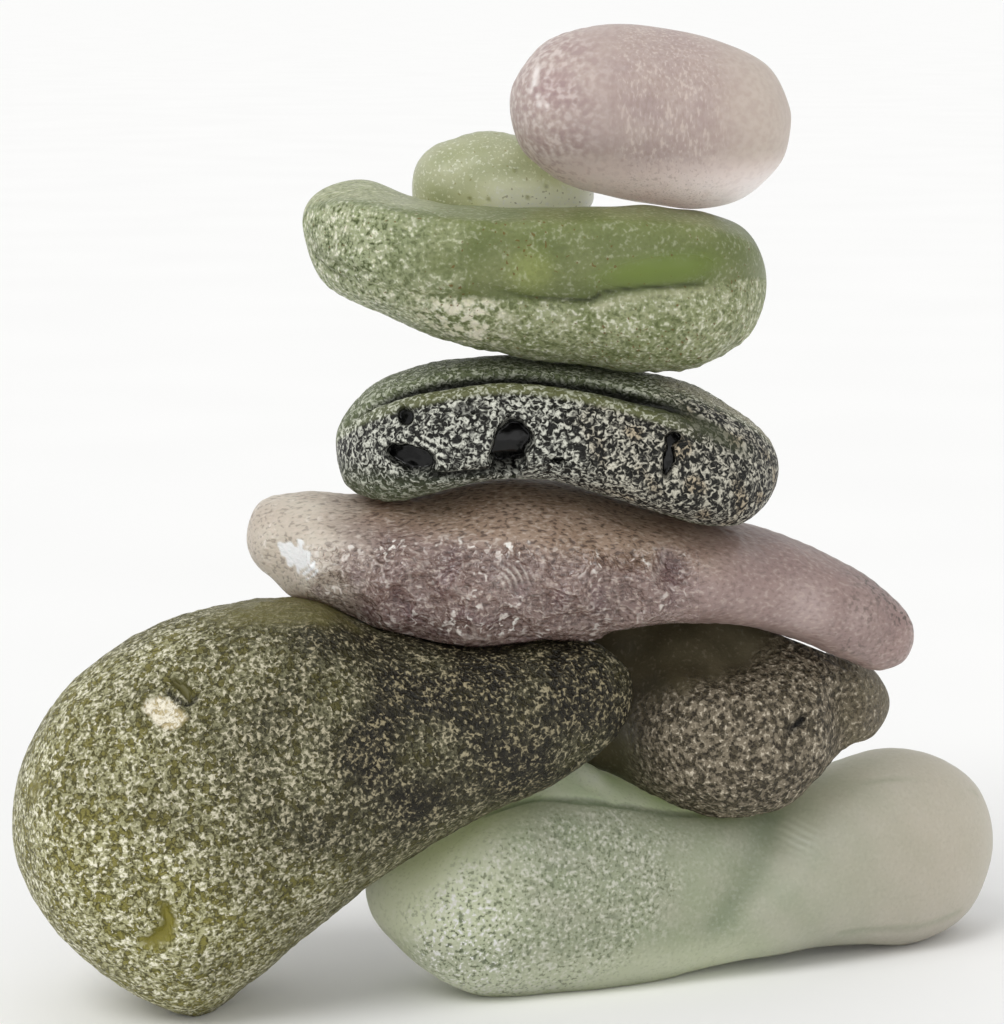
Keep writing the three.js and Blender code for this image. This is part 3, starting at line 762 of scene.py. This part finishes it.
dish_marks = {
    "rough": rough_skin,
    "white": held(rough_skin * white),
    "crack": held(crack * fade(x, -3, 4) * fade(x, 13.6, 11) + 0.45 * nicks),
    "ledge": trail(front, [(4.9, 0, 52.2), (8.4, 0, 53.1), (13.5, 0, 53.4)], 0.3) * fade(y, -2, -4),
    "window": window,
    "glow": dent(dish, (0.4, -9, 55), 2.6),
    "rust": held(rust),
    "left": left_end,
    "lip": np.maximum(fade(degrees, 280, 310), fade(degrees, 40, 25)) * fade(x, -4, -9),
    "cloud": patches(dish, 4, 42),
}

glass, place = blank_material("green_glass")
rough_skin, white, crack, ledge, window, glow, rust, left, lip, cloud = marked(place, *dish_marks)
wide = grains(place, 0.7, 2.0)
fine = grains(place, 0.3, 1.0)
grit = 0.35 * wide + 0.65 * fine
pale = ramp(grit + 0.06 * white, 0.47, 0.68)
pale *= pale
dark = ramp(grit, 0.48, 0.36)
rusty = ramp(grains(place, 0.26, 0.0) + 0.1 * rust, 0.8, 0.86)
colour = tinted(cloud, shade(103, 113, 64), shade(121, 128, 83))
colour = tinted(rough_skin * 0.75, colour, tinted(cloud, shade(134, 142, 98), shade(158, 163, 126)))
colour = tinted(left * 0.4, colour, shade(176, 184, 156))
colour = tinted(glow * 0.7, colour, shade(150, 158, 92))
colour = tinted(window, colour, shade(110, 126, 58))
colour = tinted(lip * 0.8, colour, shade(172, 176, 140))
busy = 0.2 + 0.45 * rough_skin + 0.3 * left - 0.2 * window
colour = tinted(dark * busy, colour, shade(74, 84, 40))
hair_lines = curls(wide, 0.43, 0.04) * (0.3 * rough_skin + 0.15 * left)
colour = tinted(hair_lines, colour, shade(78, 86, 46))
colour = tinted(pale * busy, colour, shade(240, 239, 222))
colour = tinted(white * ramp(wide, 0.42, 0.62) * 0.8, colour, shade(230, 224, 202))
# Painted highlight: a pale line along the ledge under the crack.
colour = tinted(ledge * 0.4, colour, shade(190, 188, 156))
colour = tinted(rusty * 0.8, colour, shade(106, 78, 26))
colour = tinted(crack * 0.8, colour, shade(44, 50, 14))
rough = 0.36 + 0.16 * rough_skin - 0.16 * window
finish_glass(
    colour, rough, grit * busy, depth=0.4, Subsurface_Weight=0.6,
    Subsurface_Radius=(0.9, 1.0, 0.6), Subsurface_Scale=0.012, Transmission_Weight=0.15,
)
stone("green_dish", dish, dish_marks, glass)


# Rear pebble: a small pale green pebble sitting in the back of the dish, clear enough for light to
# gather low down in it, with a few bubbles and brown specks.
rear_rim = [
    [-8.5, 5.8, 59.9], [-8, 5.8, 61.9], [-6.2, 5.8, 63.3], [-2.8, 5.8, 64.1], [0.4, 5.8, 63.6],
    [3.5, 5.8, 62], [5.2, 5.8, 59.8], [4.6, 5.8, 58], [1.6, 5.8, 57.1], [-1.9, 5.8, 56.9],
    [-5.7, 5.8, 57.2], [-8, 5.8, 58.3],
]
rear_depth = [3, 4, 4, 3]
rear, spokes, *_ = lump(rear_rim, rear_depth, rear_depth, right_tip=6, power=1, stations=150, around=120)
x, _, z = np.moveaxis(rear, -1, 0)
bubbles = [(0.2, 2, 59.4), (-4.1, 2.1, 59.3), (-2.7, 2, 59.3), (1.6, 2.2, 60.2), (-0.7, 2, 61.4)]
bubble = sum(dent(rear, middle, 0.28) for middle in bubbles)
sink = 0.2 * bubble + 0.05 * ripple(rear, 3, 43) + 0.015 * ripple(rear, 0.9, 44)
rear -= sink[..., None] * spokes
rear_marks = {
    "bubble": held(bubble),
    "lit": fade(z, 61.8, 59) * fade(x, -6, -1),
    "cloud": patches(rear, 2.5, 45),
}

glass, place = blank_material("pale_green_glass")
bubble, lit, cloud = marked(place, *rear_marks)
grit = grains(place, 0.25, 1.5, 0.3)
pale = ramp(grit, 0.56, 0.7)
dark = ramp(grains(place, 0.28, 0.0) - 0.05 * lit, 0.24, 0.18)
colour = tinted(cloud, shade(158, 163, 128), shade(176, 179, 146))
colour = tinted(lit, colour, shade(252, 254, 216))
colour = tinted(pale * 0.5, colour, shade(244, 246, 230))
colour = tinted(dark * 0.6, colour, shade(130, 122, 70))
colour = tinted(bubble * 0.8, colour, shade(104, 102, 60))
rough = 0.34 + 0.12 * pale
finish_glass(
    colour, rough, grit, depth=0.05, Subsurface_Weight=1.0,
    Subsurface_Radius=(1.0, 1.0, 0.8), Subsurface_Scale=0.02, Transmission_Weight=0.3,
)
stone("rear_pebble", rear, rear_marks, glass)


# Cap pebble: a smooth capsule of milky pink glass, worn to a waxy skin and balanced on top. Its left
# end is bruised, with white flecks and a small chip, and fine scratches run down its middle.
cap_rim = [
    [-1.1, -0.4, 65.8], [-0.7, -0.4, 68.3], [1.7, -0.2, 71.1], [5.9, 0, 72.2], [10.3, 0.2, 71.9],
    [14.4, 0.2, 71], [17.8, 0.2, 69.2], [19.4, 0.2, 66.4], [19.5, 0.2, 64.5], [18.8, 0.2, 62],
    [16.2, 0.2, 59.6], [12.7, 0.2, 58.7], [8.6, 0.2, 59.2], [4.8, 0, 60], [2, -0.2, 61.1],
    [-0.2, -0.4, 63.1],
]
cap_depth = [4.8, 6.4, 6.7, 6.4, 4.8]
cap, spokes, *_ = lump(cap_rim, cap_depth, cap_depth, right_tip=8, power=1, stations=220, around=180)
x, _, z = np.moveaxis(cap, -1, 0)
chip = trail(cap, [(0.75, -3.9, 69), (0.75, -4.3, 68.3), (0.6, -4.6, 67.8)], 0.4)
chip *= fade(ripple(cap, 0.9, 51), -0.6, 0.3)
flecks = [(0.9, -5.1, 67.2), (1, -5.3, 66.6), (1.6, -5.6, 66.5)]
chip += sum(dent(cap, middle, 0.35) for middle in flecks)
bruise = dent(cap, (1.9, -5.4, 67.6), 2.4)
sink = 0.2 * chip + 0.12 * bruise
sink += 0.04 * ripple(cap, 4, 46) + 0.02 * fade(x, 9, 2) * ripple(cap, 1, 47)
cap -= sink[..., None] * spokes
cap_marks = {
    "left": fade(x + 0.6 * ripple(cap, 3, 48), 7, 1),
    "right": fade(x, 11, 18),
    "scratched": fade(x, 5, 8) * fade(x, 16, 12),
    "chip": held(chip),
    "bruise": bruise,
    "lit": fade(z, 63.5, 60),
    "cloud": patches(cap, 3, 49),
}

glass, place = blank_material("pink_glass")
left, right, scratched, chip, bruise, lit, cloud = marked(place, *cap_marks)
grit = grains(place, 0.5, 1.5)
upright = place.node("ShaderNodeMapping", {}, {"Vector": place, "Scale": (1.0, 1.0, 0.35)})
scratches = grains(upright, 0.22, 1.0)
pale = ramp(grit, 0.47, 0.68)
dark = ramp(grit, 0.5, 0.34)
colour = tinted(cloud, shade(160, 146, 142), shade(168, 155, 149))
# Painted light: paler and more beige towards the right end, where light comes through the glass.
colour = tinted(right * 0.85, colour, shade(174, 164, 154))
colour = tinted(lit, colour, shade(236, 222, 219))
colour = tinted(bruise * 0.6, colour, shade(146, 124, 124))
colour = tinted(pale * (0.12 + 0.42 * left), colour, shade(202, 191, 188))
colour = tinted(dark * (0.12 + 0.35 * left), colour, shade(136, 114, 116))
colour = tinted(ramp(scratches, 0.55, 0.7) * scratched * 0.4, colour, shade(204, 193, 184))
colour = tinted(ramp(scratches, 0.45, 0.32) * scratched * 0.35, colour, shade(146, 130, 122))
colour = tinted(chip * 0.8, colour, shade(222, 214, 210))
rough = 0.52 - 0.08 * right
finish_glass(
    colour, rough, grit * (0.15 + 0.3 * left), depth=0.16, Subsurface_Weight=1.0,
    Subsurface_Radius=(1.0, 0.9, 0.85), Subsurface_Scale=0.02,
)
stone("cap_pebble", cap, cap_marks, glass)


# Studio: a plain white floor under soft white light from all round, with a large soft lamp high on the
# left and a weaker, softer one low at the front, seen from the photograph's low angle through a long
# lens.
def aim(thing, spot, target):
    """Puts a lamp or camera at a spot and turns it to a target, both in metres."""
    thing.location = spot
    thing.rotation_euler = (Vector(target) - thing.location).to_track_quat("-Z", "Y").to_euler()
    bpy.context.scene.collection.objects.link(thing)


floor_radius = 60
floor_sides = 96
floor_level = -0.00005
floor_mesh = bpy.data.meshes.new("floor")
turn = np.linspace(0, 2 * np.pi, floor_sides, endpoint=False)
floor_edge = [floor_radius * np.cos(turn), floor_radius * np.sin(turn), 0 * turn + floor_level]
floor_mesh.from_pydata(np.stack(floor_edge, axis=1).tolist(), [], [list(range(floor_sides))])
white, place = blank_material("floor_white")
paint = tinted(grains(place, 40, 0.0), shade(247, 247, 246), shade(250, 250, 249))
matt = paint.node("ShaderNodeBsdfDiffuse", {}, {"Color": paint})
matt.node("ShaderNodeOutputMaterial", {}, {"Surface": matt})
floor_mesh.materials.append(white)
floor = bpy.data.objects.new("floor", floor_mesh)
bpy.context.scene.collection.objects.link(floor)

sky = bpy.data.worlds.new("soft_white")
sky.use_nodes = True
sky.node_tree.nodes["Background"].inputs["Color"].default_value = (1, 1, 1, 1)
sky.node_tree.nodes["Background"].inputs["Strength"].default_value = 0.7
bpy.context.scene.world = sky

lamps = [("key_lamp", 1.2, 30, (-0.22, -0.28, 0.45)), ("fill_lamp", 0.6, 60, (0.15, -0.5, 0.12))]
for name, power, spread, spot in lamps:
    light = bpy.data.lights.new(name, "SUN")
    light.energy = power
    light.angle = np.radians(spread)
    aim(bpy.data.objects.new(name, light), spot, (0, 0, 0.035))

lens = bpy.data.cameras.new("camera")
lens.lens = 121.88
lens.sensor_width = 36
camera = bpy.data.objects.new("camera", lens)
aim(camera, (-0.0017, -0.2568, 0.07667), (-0.0017, 0, 0.036))
bpy.context.scene.camera = camera
bpy.context.scene.view_settings.view_transform = "Standard"
